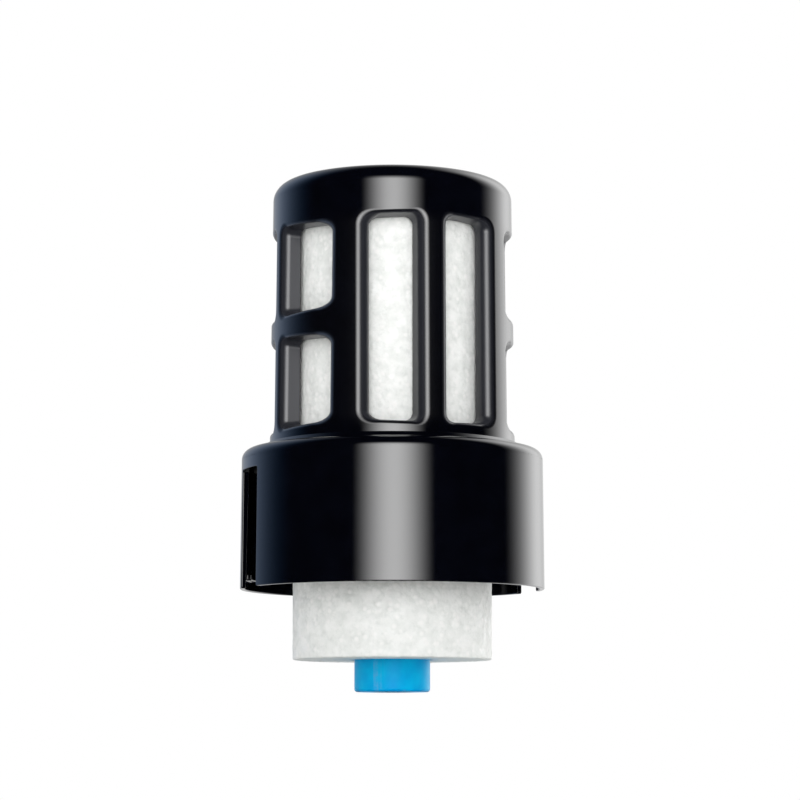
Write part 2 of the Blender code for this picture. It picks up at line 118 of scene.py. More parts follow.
# Windows. Each is ((near, far), (low, high)): how far its sides are from the quadrant's axis, measured
# on the outer face, and its heights. Its edges' rounds are along its sides and along its ends. The end
# blend is how late, round a corner, the one gives way to the other.
WINDOW_DRAFT = tan(radians(6.0))
WINDOW_CORNER = 1.4 * MM
WINDOW_EDGES = (1.75 * MM, 0.7 * MM)
WINDOW_INNER_EDGES = (0.1 * MM, 0.1 * MM)
WINDOW_END_BLEND = 5
TALL_WINDOWS = (((2.3 * MM, 9.6 * MM), (42.45 * MM, 75.9 * MM)),)
SHORT_WINDOWS = (
    ((1.95 * MM, 11.4 * MM), (42.45 * MM, 56.9 * MM)),
    ((1.95 * MM, 11.4 * MM), (60.95 * MM, 75.3 * MM)),
)

# Locking collar
COLLAR_TOP = 39.75 * MM
COLLAR_TOP_RADIUS = 24.85 * MM
COLLAR_FILLET = 1.8 * MM
COLLAR_INNER_FILLET = 0.65 * MM
COLLAR_BORE_EDGE = 0.15 * MM
LIP_WIDTH = 0.25 * MM
LIP_SLOPE = 0.6 * MM
LIP_GAP = 0.1 * MM
LIP_INNER_EDGE = 0.08 * MM
LIP_OUTER_EDGE = 0.1 * MM
LIP_FOOT_ROUND = 0.08 * MM
SHOULDER_WALL = 1.1 * MM
RIM_WALL = 0.8 * MM
SKIRT_TOP = COLLAR_TOP - COLLAR_FILLET
SKIRT_LAP = 0.05 * MM
SLOT_HALF_WIDTH = 3.95 * MM
SLOT_TOP = 36.0 * MM
SLOT_FOOT_ROUND = 0.35 * MM
SLOT_TOP_ROUND = 0.5 * MM
SKIRT_EDGE = 0.2 * MM
SKIRT_INNER_EDGE = 0.15 * MM
LUG_ANGLE = radians(-29.0)
LUG_SIZE = (4.2 * MM, 1.1 * MM)
LUG_HEIGHT = 2.2 * MM
LUG_PROUD = 0.9 * MM
LUG_CORNER = 0.3 * MM
LUG_FOOT_ROUND = 0.15 * MM
LUG_TOP_ROUND = 0.2 * MM

# Gasket
GASKET_INNER_RADIUS = 17.2 * MM
GASKET_EDGE = 0.2 * MM

# Sleeve
SLEEVE_FLOOR = 9.85 * MM
SLEEVE_BORE_RADIUS = 10.3 * MM
SLEEVE_HOLE_RADIUS = 6.55 * MM
SLEEVE_TOP_ROUND = 0.5 * MM
SLEEVE_FOOT_ROUND = 0.35 * MM
SLEEVE_INNER_ROUND = 0.3 * MM
SLEEVE_HOLE_EDGE = 0.2 * MM

# Inner cartridge
MOULDED_EDGE = 0.15 * MM
CAP_ROUND = 0.3 * MM
LEAD_IN_ROUND = 0.4 * MM
CAP_RADIUS = 10.0 * MM
CAP_RIM_INNER_RADIUS = 9.3 * MM
CAP_FLOOR = 2.0 * MM
FLANGE_UPPER = 79.3 * MM
FLANGE_LOWER = 78.1 * MM
BOSS_RADIUS = 4.0 * MM
BOSS_GROOVE_RADIUS = 3.1 * MM
BOSS_GROOVE_Z = (79.85 * MM, 81.15 * MM)
CAP_SOCKET_RADIUS = 5.5 * MM
CAP_SOCKET_TOP = 17.0 * MM
CAP_SOCKET_OUTER_RADIUS = 7.0 * MM
BORE_RADIUS = 3.2 * MM
BLOCK_INNER_RADIUS = 4.8 * MM
BLOCK_COUNTERBORE_RADIUS = 7.3 * MM
BLOCK_COUNTERBORE_TOP = 18.5 * MM
BLOCK_ROUND = 0.3 * MM
BLOCK_INNER_EDGE = 0.2 * MM
WRAP_INNER_RADIUS = 9.3 * MM
WRAP_ROUND = 0.2 * MM
WRAP_INNER_EDGE = 0.1 * MM
STUB_SHOULDER = 9.7 * MM
STUB_ROUND = 0.5 * MM
STUB_MOUTH_ROUND = 0.3 * MM
SPIGOT_RADIUS = 4.9 * MM
SPIGOT_GROOVE_RADIUS = 4.0 * MM
SPIGOT_GROOVE_Z = (11.6 * MM, 13.0 * MM)

# Seal rings: the flash line's height and half width, as shares of the section's radius
FLASH_SHARE = 0.06
FLASH_WIDTH = 0.12

# Relief of the rough pieces: its depth, and its noise's scale
PORE_DEPTH = 0.05 * MM
PORE_SCALES = (1100.0, 2300.0)
PORE_LEVEL = 0.45
PORE_WEIGHTS = (0.55, 0.45)
CARBON_DEPTH = 0.04 * MM
CARBON_SCALE = 1400.0
FLEECE_DEPTH = 0.05 * MM
FLEECE_SCALE = Vector((500.0, 500.0, 160.0))

# Looks. A pair is the range of a noise, a distance or a pointiness over which a feature comes or goes.
# The cloud's and the fleck's scales are shares of the grain's.
DRIFT_RANGE = (0.3, 0.7)
SCUFF_SCALE = 900.0
SCUFF_RANGE = (0.4, 0.65)
RUBBED_POINTINESS = (0.52, 0.62)
RUBBED_ROUGHNESS = 0.1
CLOUD_SCALE = 0.42
CLOUD_RANGE = (0.36, 0.62)
FLECK_SCALE = 0.8
FLECK_RANGE = (0.5, 0.72)
FLECK_SHARE = 0.5
GRAIN_SHARE = 0.25
CRYSTAL_RANGE = (0.62, 0.72)
CRYSTAL_FADE = (0.2, 0.55)
PIT_RANGE = (0.0, 0.8)
SCATTER_DISTANCE = 1.0 * MM

# Satin of the cage's windows: its fade below the outer face, and its fades at the lattice's ends
CUT_DEPTH = (0.02 * MM, 0.35 * MM)
CUT_ROUGHNESS = 0.3
# The colour of the window walls and round edges: a painted sheen, lighter than the black face.
CUT_PAINTED_SHEEN = (0.02, 0.021, 0.027)
LATTICE_Z = ((41.0 * MM, 43.5 * MM), (74.5 * MM, 77.0 * MM))
LATTICE_SHARE = 0.6

# Fineness of the meshes. REGION_STEP is in millimetres.
ARC_STEP = radians(10)
FINE_STEPS = 180
REGION_STEP = 1.4
REGION_MARGIN = 0.6 * REGION_STEP
TALL_STEPS = 40
SHORT_STEPS = 50
BAND_ROWS = 26
WINDOW_END_STEPS = 8
WINDOW_SIDE_STEP = 1.3 * MM
WINDOW_CORNER_STEPS = 9
WINDOW_EDGE_STEPS = 14
WINDOW_INNER_EDGE_STEPS = 3
WINDOW_PASSES = 12
SKIRT_STEPS = 90
SKIRT_ROWS = 14
SKIRT_EDGE_STEPS = 5
SKIRT_INNER_EDGE_STEPS = 3
SLOT_TOP_STEPS = 4
SLOT_ROUND_STEPS = 6
SLOT_SIDE_STEPS = 15
RIM_STEPS = 40
LUG_STEPS = (8, 3, 5)
LUG_FOOT_STEPS = 3
LUG_TOP_STEPS = 4
SEAL_STEPS = 120
SEAL_SECTION_STEPS = 28
SLEEVE_STEPS = 344
SLEEVE_GRAIN = 0.3 * MM
BLOCK_STEPS = 96
BLOCK_GRAIN = 0.7 * MM
WRAP_STEPS = 160
WRAP_GRAIN = 0.6 * MM


def unit(vectors):
    return vectors / np.linalg.norm(vectors, axis=-1, keepdims=True)


def dot(first, second):
    return (first * second).sum(-1, keepdims=True)


def around(radius, height, angle):
    """Points at these radii, heights and angles round the axis."""
    radius, height, angle = np.broadcast_arrays(radius, height, angle)
    return np.stack([radius * np.sin(angle), -radius * np.cos(angle), height], -1)


class Skin:
    """The surface of one piece. Corners at the same place are shared, and each has its exact normal."""

    def __init__(self):
        self.points, self.normals, self.faces, self.count = [], [], [], 0

    def add(self, points, normals, faces, turn=0.0):
        """Adds triangles, turned round the axis by an angle."""
        spin = np.array([[cos(turn), sin(turn), 0], [-sin(turn), cos(turn), 0], [0, 0, 1]])
        self.points.append(points.reshape(-1, 3) @ spin)
        self.normals.append(normals.reshape(-1, 3) @ spin)
        self.faces.append(np.asarray(faces) + self.count)
        self.count += len(self.points[-1])

    def strip(self, rows, normals, closed=True, turn=0.0):
        """Adds the faces between rows of points. Closed rows run right round."""
        count, across = rows.shape[:2]
        here = np.arange(across if closed else across - 1)
        first = (np.arange(count - 1)[:, None] * across + here).ravel()
        second = (np.arange(count - 1)[:, None] * across + (here + 1) % across).ravel()
        lower = np.stack([first, second, second + across], 1)
        upper = np.stack([first, second + across, first + across], 1)
        self.add(rows, normals, np.concatenate([lower, upper]), turn)

    def turned(self, profile, angles, closed=False):
        """Adds the surface that a profile's rows (radius, height, normal) sweep round the axis."""
        rows = np.concatenate([profile, profile[:1]]) if closed else profile
        radius, height, out, up = (rows[:, i, None] for i in range(4))
        self.strip(around(radius, height, angles), around(out, up, angles))

    def mesh(self, name, exact=True):
        points, normals = np.concatenate(self.points), np.concatenate(self.normals)
        _, first, index = np.unique(
            np.round(points / SNAP).astype(np.int64), axis=0, return_index=True, return_inverse=True
        )
        points, normals = points[first], unit(normals[first])
        faces = index.reshape(-1)[np.concatenate(self.faces)]
        faces = faces[(faces != np.roll(faces, 1, 1)).all(1)]
        edges = points[faces[:, 1:]] - points[faces[:, :1]]
        facing = np.cross(edges[:, 0], edges[:, 1])
        inward = (facing * normals[faces].sum(1)).sum(1) < 0
        faces[inward] = faces[inward, ::-1]
        mesh = bpy.data.meshes.new(name)
        mesh.from_pydata(points.tolist(), [], faces.tolist())
        mesh.shade_smooth()
        if exact:
            mesh.normals_split_custom_set_from_vertices(normals.tolist())
        return mesh


def rounded(corners, closed=False):
    """Rows (radius, height, normal out, normal up) of a profile with rounded corners, given as
    (radius, height, round). It runs down its outer side."""
    places = [np.array(corner[:2]) for corner in corners]
    count = len(corners)
    rows = []
    for i, (radius, height, size) in enumerate(corners):
        before = unit(places[i] - places[i - 1])
        after = unit(places[(i + 1) % count] - places[i])
        if not closed and i in (0, count - 1):
            way = after if i == 0 else before
            rows.append((radius, height, -way[1], way[0]))
            continue
        cross = before[0] * after[1] - before[1] * after[0]
        bend = atan2(cross, float(before @ after))
        side = -1 if bend < 0 else 1
        start = places[i] - before * size * tan(abs(bend) / 2)
        centre = start + side * size * np.array([-before[1], before[0]])
        facing = atan2(before[0], -before[1])
        steps = max(2, ceil(abs(bend) / ARC_STEP))
        for angle in np.linspace(facing, facing + bend, steps + 1):
            out, up = cos(angle), sin(angle)
            rows.append((centre[0] - side * size * out, centre[1] - side * size * up, out, up))
    return np.array(rows)


def full_circle(steps):
    return np.arange(steps) * 2 * pi / steps


def inside(loop, points):
    """Which points lie inside a closed loop, by counting the edges they lie left of."""
    start, end = loop, np.roll(loop, -1, 0)
    x, y = points[:, :1], points[:, 1:]
    spans = (start[:, 1] > y) != (end[:, 1] > y)
    rise = np.where(end[:, 1] == start[:, 1], 1.0, end[:, 1] - start[:, 1])
    crossing = start[:, 0] + (y - start[:, 1]) / rise * (end[:, 0] - start[:, 0])
    return ((x < crossing) & spans).sum(1) % 2 == 1


def triangulated(outline, holes):
    """Points and triangles of a flat region with holes. Lengths are in millimetres."""
    loops = [outline, *holes]
    edges, base = [], 0
    for loop in loops:
        edges += [(base + i, base + (i + 1) % len(loop)) for i in range(len(loop))]
        base += len(loop)
    rim = np.concatenate(loops)
    low, high = outline.min(0), outline.max(0)
    spans = [np.linspace(low[i], high[i], ceil((high[i] - low[i]) / REGION_STEP) + 1) for i in (0, 1)]
    grid = np.stack(np.meshgrid(*spans), -1).reshape(-1, 2)
    near = np.linalg.norm(grid[:, None] - rim[None], axis=2).min(1) < REGION_MARGIN
    keep = inside(outline, grid) & ~near
    for hole in holes:
        keep &= ~inside(hole, grid)
    points = np.concatenate([rim, grid[keep]])
    found = delaunay_2d_cdt([Vector(point) for point in points], edges, [], 0, 1e-6)
    points = points[[origins[0] for origins in found[3]]]
    faces = np.array([face for face in found[2] if len(face) == 3])
    middles = points[faces].mean(1)
    keep = inside(outline, middles)
    for hole in holes:
        keep &= ~inside(hole, middles)
    return points, faces[keep]


def band_outline(low, high, bottom, top, steps, rows):
    """A rectangle's outline, from its low to its high angle, with evenly spaced points."""
    across, up = np.linspace(low, high, steps + 1), np.linspace(bottom, top, rows + 1)
    return np.concatenate([
        np.stack([across[:-1], np.full(steps, bottom)], 1),
        np.stack([np.full(rows, high), up[:-1]], 1),
        np.stack([across[:0:-1], np.full(steps, top)], 1),
        np.stack([np.full(rows, low), up[:0:-1]], 1),
    ])


class Wall:
    """A turned face whose radius changes evenly with height. sign is 1 outside and -1 inside."""

    def __init__(self, low, high, sign=1):
        self.low, self.sign = low, sign
        self.slope = (high[0] - low[0]) / (high[1] - low[1])

    def radius(self, height):
        return self.low[0] + self.slope * (height - self.low[1])

    def normal(self, angle):
        return self.sign * unit(around(1.0, -self.slope, angle))

    def lay(self, skin, outline, holes, turn):
        """Adds the region inside an outline of (angle, height) rows, less its holes."""
        scale = np.array([self.low[0], 1.0]) / MM
        flat, faces = triangulated(outline * scale, [hole * scale for hole in holes])
        angle, height = (flat / scale).T
        points = around(self.radius(height), height, angle)
        skin.add(points, self.normal(angle), faces, turn)

    def snap(self, points):
        """Moves points onto the face. Returns them and their (angle, height) rows."""
        angle, height = np.arctan2(points[:, 0], -points[:, 1]), points[:, 2]
        return around(self.radius(height), height, angle), np.stack([angle, height], 1)


def edge_rows(wall, edge, wall_normal, size, steps):
    """Rows of points and normals of the round edge between a turned face and a cut through it, from
    the face to the cut, and the first row's (angle, height)."""
    face_normal = wall.normal(np.arctan2(edge[:, 0], -edge[:, 1]))
    along = unit(np.cross(face_normal, wall_normal))
    on_face, on_cut = np.cross(along, face_normal), np.cross(along, wall_normal)
    on_face = on_face * -np.sign(dot(on_face, wall_normal))
    on_cut = on_cut * -np.sign(dot(on_cut, face_normal))
    half = np.arccos(np.clip(dot(on_face, on_cut), -1, 1)) / 2
    centre = edge + unit(on_face + on_cut) * size / np.sin(half)
    return ball_rows(wall, centre, face_normal, wall_normal, size, steps)


def ball_rows(wall, centre, face_normal, wall_normal, size, steps):
    """Rows of points and normals on a ball that rolls along an edge, from the face to the cut, and the
    first row's (angle, height)."""
    turn = np.arccos(np.clip(dot(face_normal, wall_normal), -1, 1))
    share = np.linspace(0, 1, steps + 1)[:, None, None]
    normals = (np.sin((1 - share) * turn) * face_normal + np.sin(share * turn) * wall_normal) / np.sin(turn)
    rows = centre + size * normals
    snapped, places = wall.snap(rows[0])
    rows = rows + (snapped - rows[0]) * (1 - share) ** 2
    normals[0] = wall.normal(places[:, 0])
    return rows, normals, places


def cut_strip(skin, outer, inner, closed, turn):
    """Joins the round edges of an outer and an inner face along a cut."""
    rows = np.concatenate([outer[0], inner[0][::-1]])
    normals = np.concatenate([outer[1], inner[1][::-1]])
    skin.strip(rows, normals, closed, turn)


def rounded_loop(across, tall, corner):
    """Rows (s, t, cu, cz) round a rounded rectangle: s and t place the corner's centre between the
    sides, and (cu, cz) is the way out. The numbers are the steps along each stretch."""
    ends = ((0, 0, 1, 0), (1, 0, 1, 1), (1, 1, 0, 1), (0, 1, 0, 0))
    rows = []
    for side, (s0, t0, s1, t1) in enumerate(ends):
        facing = (side - 1) * pi / 2
        steps = tall if side % 2 else across
        for share in np.arange(steps) / steps:
            s, t = s0 + (s1 - s0) * share, t0 + (t1 - t0) * share
            rows.append((s, t, cos(facing), sin(facing)))
        for angle in facing + np.arange(corner) / corner * pi / 2:
            rows.append((s1, t1, cos(angle), sin(angle)))
    return np.array(rows)


def window_edge(window, side, wall, sizes, steps):
    """Rows of the round edge where a window's drafted cut meets a face. Side -1 is the mirrored window.
    sizes are the edge's rounds along the window's sides and along its ends."""
    (near, far), (low, high) = window
    side_steps = round((high - low) / WINDOW_SIDE_STEP)
    s, t, out_u, out_z = rounded_loop(WINDOW_END_STEPS, side_steps, WINDOW_CORNER_STEPS).T
    near_depth, far_depth = (sqrt(CAGE_TOP_RADIUS**2 - u**2) for u in (near, far))
    mean_depth = (near_depth + far_depth) / 2
    inward = unit(np.stack([
        side * WINDOW_DRAFT * (1 - 2 * s), np.ones_like(s), WINDOW_DRAFT * (1 - 2 * t)
    ], 1))
    into = -np.stack([side * out_u, np.zeros_like(s), out_z], 1)
    normal = unit(into - dot(into, inward) * inward)
    size = (sizes[0] + (sizes[1] - sizes[0]) * np.abs(out_z) ** WINDOW_END_BLEND)[:, None]
    depth = np.full(len(s), mean_depth)
    for _ in range(WINDOW_PASSES):
        start, end = near + WINDOW_DRAFT * (near_depth - depth), far - WINDOW_DRAFT * (far_depth - depth)
        foot, head = low + WINDOW_DRAFT * (mean_depth - depth), high - WINDOW_DRAFT * (mean_depth - depth)
        u = (start + WINDOW_CORNER) * (1 - s) + (end - WINDOW_CORNER) * s + WINDOW_CORNER * out_u
        z = (foot + WINDOW_CORNER) * (1 - t) + (head - WINDOW_CORNER) * t + WINDOW_CORNER * out_z
        centre = np.stack([side * u, -depth, z], 1) - size * normal
        reach = wall.radius(centre[:, 2]) - wall.sign * size[:, 0]
        depth = np.sqrt(reach**2 - centre[:, 0] ** 2) - size[:, 0] * normal[:, 1]
    face_normal = wall.normal(np.arctan2(centre[:, 0], -centre[:, 1]))
    return ball_rows(wall, centre, face_normal, normal, size, steps)


def quadrant(skin, outer, inner, windows, half, steps, turn):
    """One quadrant of the cage's band: both faces, and every window's walls and round edges."""
    holes = {outer: [], inner: []}
    for window in windows:
        for side in (1, -1):
            strips = []
            for wall, sizes, count in (
                (outer, WINDOW_EDGES, WINDOW_EDGE_STEPS),
                (inner, WINDOW_INNER_EDGES, WINDOW_INNER_EDGE_STEPS),
            ):
                rows, normals, places = window_edge(window, side, wall, sizes, count)
                holes[wall].append(places)
                strips.append((rows, normals))
            cut_strip(skin, *strips, True, turn)
    for wall in (outer, inner):
        outline = band_outline(-half, half, *BAND_Z, steps, BAND_ROWS)
        wall.lay(skin, outline, holes[wall], turn)


def cage_skin():
    """The cage: four windowed quadrants between its closed top and the flange at its foot."""
    skin = Skin()
    top, flange, bottom = CAGE_HIGH.z, CAGE_HIGH.x, CAGE_LOW.z
    outer = Wall((CAGE_BASE_RADIUS, COLLAR_HIGH.z), (CAGE_TOP_RADIUS, top - CAGE_TOP_FILLET))
    inner = Wall((CAGE_INNER_RADIUS, BAND_Z[0]), (CAGE_INNER_RADIUS, BAND_Z[1]), -1)
    for turn in (0.0, pi):
        quadrant(skin, outer, inner, TALL_WINDOWS, TALL_HALF, TALL_STEPS, turn)
        quadrant(skin, outer, inner, SHORT_WINDOWS, SHORT_HALF, SHORT_STEPS, turn + pi / 2)
    tall = np.linspace(-TALL_HALF, TALL_HALF, TALL_STEPS, endpoint=False)
    short = np.linspace(-SHORT_HALF, SHORT_HALF, SHORT_STEPS, endpoint=False) + pi / 2
    angles = np.concatenate([tall, short, tall + pi, short + pi])
    skin.turned(rounded([
        (0.0, top, 0.0),
        (outer.radius(top), top, CAGE_TOP_FILLET),
        (outer.radius(BAND_Z[1]), BAND_Z[1], 0.0),
    ]), angles)
    skin.turned(rounded([
        (outer.radius(BAND_Z[0]), BAND_Z[0], 0.0),
        (outer.radius(FLANGE_TOP), FLANGE_TOP, CAGE_EDGE),
        (flange, FLANGE_TOP, CAGE_EDGE),
        (flange, bottom, CAGE_EDGE),
        (CAGE_INNER_RADIUS, bottom, CAGE_EDGE),
        (CAGE_INNER_RADIUS, BAND_Z[0], 0.0),
    ]), angles)
    skin.turned(rounded([
        (CAGE_INNER_RADIUS, BAND_Z[1], 0.0),
        (CAGE_INNER_RADIUS, CEILING, CEILING_FILLET),
        (SOCKET_OUTER_RADIUS, CEILING, SOCKET_FILLET),
        (SOCKET_OUTER_RADIUS, SOCKET_BOTTOM, CAGE_EDGE),
        (SOCKET_INNER_RADIUS, SOCKET_BOTTOM, CAGE_EDGE),
        (SOCKET_INNER_RADIUS, CEILING, CAGE_EDGE),
        (0.0, CEILING, 0.0),
    ]), angles)
    return skin


def slot_path(rim):
    """The skirt's lower edge from a slot's middle to halfway between the slots, as rows (u, z, nu, nz,
    share). A row's share is 0 at the slot and 1 at the halfway point. Its normal leaves the skirt."""
    width, foot, head = SLOT_HALF_WIDTH, SLOT_FOOT_ROUND, SLOT_TOP_ROUND
    rows = [(u, SLOT_TOP, 0, -1, 0) for u in np.linspace(0, width - head, SLOT_TOP_STEPS, endpoint=False)]
    for a in np.linspace(0, pi / 2, SLOT_ROUND_STEPS + 1):
        u, z = width - head + head * sin(a), SLOT_TOP - head + head * cos(a)
        rows.append((u, z, -sin(a), -cos(a), 0))
    for z in np.linspace(SLOT_TOP - head, rim + foot, SLOT_SIDE_STEPS + 1)[1:-1]:
        rows.append((width, z, -1, 0, 0))
    for a in np.linspace(0, pi / 2, SLOT_ROUND_STEPS + 1):
        u, z = width + foot - foot * cos(a), rim + foot - foot * sin(a)
        rows.append((u, z, -cos(a), -sin(a), 0))
    rows += [(width + foot, rim, 0, -1, share) for share in np.linspace(0, 1, RIM_STEPS + 1)[1:]]
    return np.array(rows)


def skirt_edge(wall, path, size, steps):
    """Rows of the skirt's lower round edge on one face, along a path of slot_path's rows."""
    u, z, out_u, out_z, share = path.T
    by_slot = np.arcsin(u / wall.radius(z))
    angle = by_slot + (np.sign(u) * pi / 2 - by_slot) * share
    edge = around(wall.radius(z), z, angle)
    normal = np.stack([out_u, np.zeros_like(u), out_z], 1)
    return edge_rows(wall, edge, normal, size, steps)


def lug(skin, wall, rim, turn):
    """A lug on the skirt's inner face, and the outline of its foot as (angle, height) rows."""
    s, t, out_u, out_z = rounded_loop(*LUG_STEPS).T
    foot, head = LUG_FOOT_ROUND, LUG_TOP_ROUND
    path = [(foot * (1 - sin(a)), foot * (1 - cos(a)), sin(a), cos(a))
            for a in np.linspace(0, pi / 2, LUG_FOOT_STEPS + 1)]
    path += [(-head * (1 - cos(a)), LUG_PROUD - head * (1 - sin(a)), cos(a), sin(a))
             for a in np.linspace(0, pi / 2, LUG_TOP_STEPS + 1)]
    rows, normals, loops = [], [], []
    for offset, height, out, up in path:
        corner = LUG_CORNER + offset
        across = (s - 0.5) * (LUG_SIZE[0] - 2 * LUG_CORNER) + corner * out_u
        z = rim + LUG_HEIGHT + (t - 0.5) * (LUG_SIZE[1] - 2 * LUG_CORNER) + corner * out_z
        angle = LUG_ANGLE + across / wall.low[0]
        rows.append(around(wall.radius(z) - height, z, angle))
        sideways = around(0.0, out_z, angle) + out_u[:, None] * around(1.0, 0.0, angle + pi / 2)
        normals.append(unit(out * sideways + up * wall.normal(angle)))
        loops.append(np.stack([angle, z], 1))
    skin.strip(np.array(rows), np.array(normals), True, turn)
    top = Wall((wall.radius(rim) - LUG_PROUD, rim), (wall.radius(SKIRT_TOP) - LUG_PROUD, SKIRT_TOP), -1)
    top.lay(skin, loops[-1], [], turn)
    return loops[0]


def collar_skin():
    """The collar: two half skirts, each with a slot and a lug, under a shoulder with a low lip."""
    skin = Skin()
    rim, rim_radius, lip = COLLAR_LOW.z, COLLAR_HIGH.y, COLLAR_HIGH.z
    outer = Wall((rim_radius, rim), (COLLAR_TOP_RADIUS, SKIRT_TOP))
    inner = Wall((rim_radius - RIM_WALL, rim), (COLLAR_TOP_RADIUS - SHOULDER_WALL, SKIRT_TOP), -1)
    right = slot_path(rim)
    left = right[:0:-1] * (-1, 1, -1, 1, 1)
    path = np.concatenate([left, right])
    for turn in (pi / 2, -pi / 2):
        strips, edges = [], []
        for wall, size, steps in (
            (outer, SKIRT_EDGE, SKIRT_EDGE_STEPS),
            (inner, SKIRT_INNER_EDGE, SKIRT_INNER_EDGE_STEPS),
        ):
            rows, normals, places = skirt_edge(wall, path, size, steps)
            strips.append((rows, normals))
            edges.append(places)
        cut_strip(skin, *strips, False, turn)
        for wall, places in zip((outer, inner), edges):
            band = band_outline(-pi / 2, pi / 2, places[0, 1], SKIRT_TOP, SKIRT_STEPS, SKIRT_ROWS)
            outline = np.concatenate([places[:-1], band[SKIRT_STEPS:]])
            holes = [lug(skin, inner, rim, turn)] if wall is inner else []
            wall.lay(skin, outline, holes, turn)
    bore = CAGE_BASE_RADIUS + LIP_GAP
    lip_radius = CAGE_BASE_RADIUS + CAD_GAP + LIP_WIDTH
    underside = FLANGE_TOP + CAD_GAP
    lap = SKIRT_TOP - SKIRT_LAP
    skin.turned(rounded([
        (inner.radius(SKIRT_TOP), SKIRT_TOP, 0.0),
        (inner.radius(underside), underside, COLLAR_INNER_FILLET),
        (bore, underside, COLLAR_BORE_EDGE),
        (bore, lip, LIP_INNER_EDGE),
        (lip_radius, lip, LIP_OUTER_EDGE),
        (lip_radius + LIP_SLOPE, COLLAR_TOP, LIP_FOOT_ROUND),
        (outer.radius(COLLAR_TOP), COLLAR_TOP, COLLAR_FILLET),
        (outer.radius(lap), lap, 0.0),
    ]), full_circle(FINE_STEPS))
    return skin


def gasket_skin():
    """A flat ring with small round edges."""
    skin = Skin()
    skin.turned(rounded([
        (GASKET_INNER_RADIUS, GASKET_HIGH.z, GASKET_EDGE),
        (GASKET_HIGH.x, GASKET_HIGH.z, GASKET_EDGE),
        (GASKET_HIGH.x, GASKET_LOW.z, GASKET_EDGE),
        (GASKET_INNER_RADIUS, GASKET_LOW.z, GASKET_EDGE),
    ], closed=True), full_circle(FINE_STEPS), closed=True)
    return skin


def seal_skin(low, high):
    """A round-section ring with the thin flash line that its mould leaves."""
    skin = Skin()
    section = (high.z - low.z) / 2
    angles = np.linspace(0, -2 * pi, SEAL_SECTION_STEPS, endpoint=False)
    flash = section * FLASH_SHARE * np.exp(-((np.abs(np.sin(angles)) / FLASH_WIDTH) ** 2))
    out, up = np.cos(angles), np.sin(angles)
    size = section * (1 - FLASH_SHARE) + flash
    rows = np.stack([high.x - section + size * out, (low.z + high.z) / 2 + size * up, out, up], 1)
    skin.turned(rows, full_circle(SEAL_STEPS), closed=True)
    return skin


def upper_cap_skin():
    """A cap whose rim reaches down round the block, with a grooved boss on its flange."""
    edge = MOULDED_EDGE
    low, high = UPPER_LOW, UPPER_HIGH
    underside = FLANGE_LOWER - CAP_FLOOR
    skin = Skin()
    skin.turned(rounded([
        (0.0, high.z, 0.0),
        (BOSS_RADIUS, high.z, LEAD_IN_ROUND),
        (BOSS_RADIUS, BOSS_GROOVE_Z[1], edge),
        (BOSS_GROOVE_RADIUS, BOSS_GROOVE_Z[1], edge),
        (BOSS_GROOVE_RADIUS, BOSS_GROOVE_Z[0], edge),
        (BOSS_RADIUS, BOSS_GROOVE_Z[0], edge),
        (BOSS_RADIUS, FLANGE_UPPER, edge),
        (high.x, FLANGE_UPPER, CAP_ROUND),
        (high.x, FLANGE_LOWER, CAP_ROUND),
        (CAP_RADIUS, FLANGE_LOWER, edge),
        (CAP_RADIUS, low.z, edge),
        (CAP_RIM_INNER_RADIUS, low.z, edge),
        (CAP_RIM_INNER_RADIUS, underside, edge),
        (0.0, underside, 0.0),
    ]), full_circle(FINE_STEPS))
    return skin


def lower_cap_skin():
    """A cup round the block's foot, with a socket for the stub in its middle."""
    edge = MOULDED_EDGE
    low, high = LOWER_LOW, LOWER_HIGH
    floor = low.z + CAP_FLOOR
    skin = Skin()
    skin.turned(rounded([
        (CAP_RIM_INNER_RADIUS, floor + CAP_FLOOR, edge),
        (CAP_RADIUS, floor + CAP_FLOOR, edge),
        (CAP_RADIUS, low.z, CAP_ROUND),
        (CAP_SOCKET_RADIUS, low.z, edge),
        (CAP_SOCKET_RADIUS, CAP_SOCKET_TOP, edge),
        (BORE_RADIUS, CAP_SOCKET_TOP, edge),
        (BORE_RADIUS, high.z, edge),
        (CAP_SOCKET_OUTER_RADIUS, high.z, edge),
        (CAP_SOCKET_OUTER_RADIUS, floor, edge),
        (CAP_RIM_INNER_RADIUS, floor, edge),
    ], closed=True), full_circle(FINE_STEPS), closed=True)
    return skin


def stub_skin():
    """The outlet tube, with a narrower grooved spigot above its shoulder."""
    edge = MOULDED_EDGE
    radius, top = STUB_HIGH.x, STUB_HIGH.z
    skin = Skin()
    skin.turned(rounded([
        (BORE_RADIUS, top, edge),
        (SPIGOT_RADIUS, top, LEAD_IN_ROUND),
        (SPIGOT_RADIUS, SPIGOT_GROOVE_Z[1], edge),
        (SPIGOT_GROOVE_RADIUS, SPIGOT_GROOVE_Z[1], edge),
        (SPIGOT_GROOVE_RADIUS, SPIGOT_GROOVE_Z[0], edge),
        (SPIGOT_RADIUS, SPIGOT_GROOVE_Z[0], edge),
        (SPIGOT_RADIUS, STUB_SHOULDER, edge),
        (radius, STUB_SHOULDER, edge),
        (radius, STUB_LOW.z, STUB_ROUND),
        (BORE_RADIUS, STUB_LOW.z, STUB_MOUTH_ROUND),
    ], closed=True), full_circle(FINE_STEPS), closed=True)
    return skin


def refined(rows, spacing):
    """A closed profile's rows with points added so that none are further apart than the spacing."""
    made = []
    for start, end in zip(rows, np.roll(rows, -1, 0)):
        steps = max(1, ceil(hypot(*(end - start)[:2]) / spacing))
        made += [start + (end - start) * share for share in np.arange(steps) / steps]
    return np.array(made)


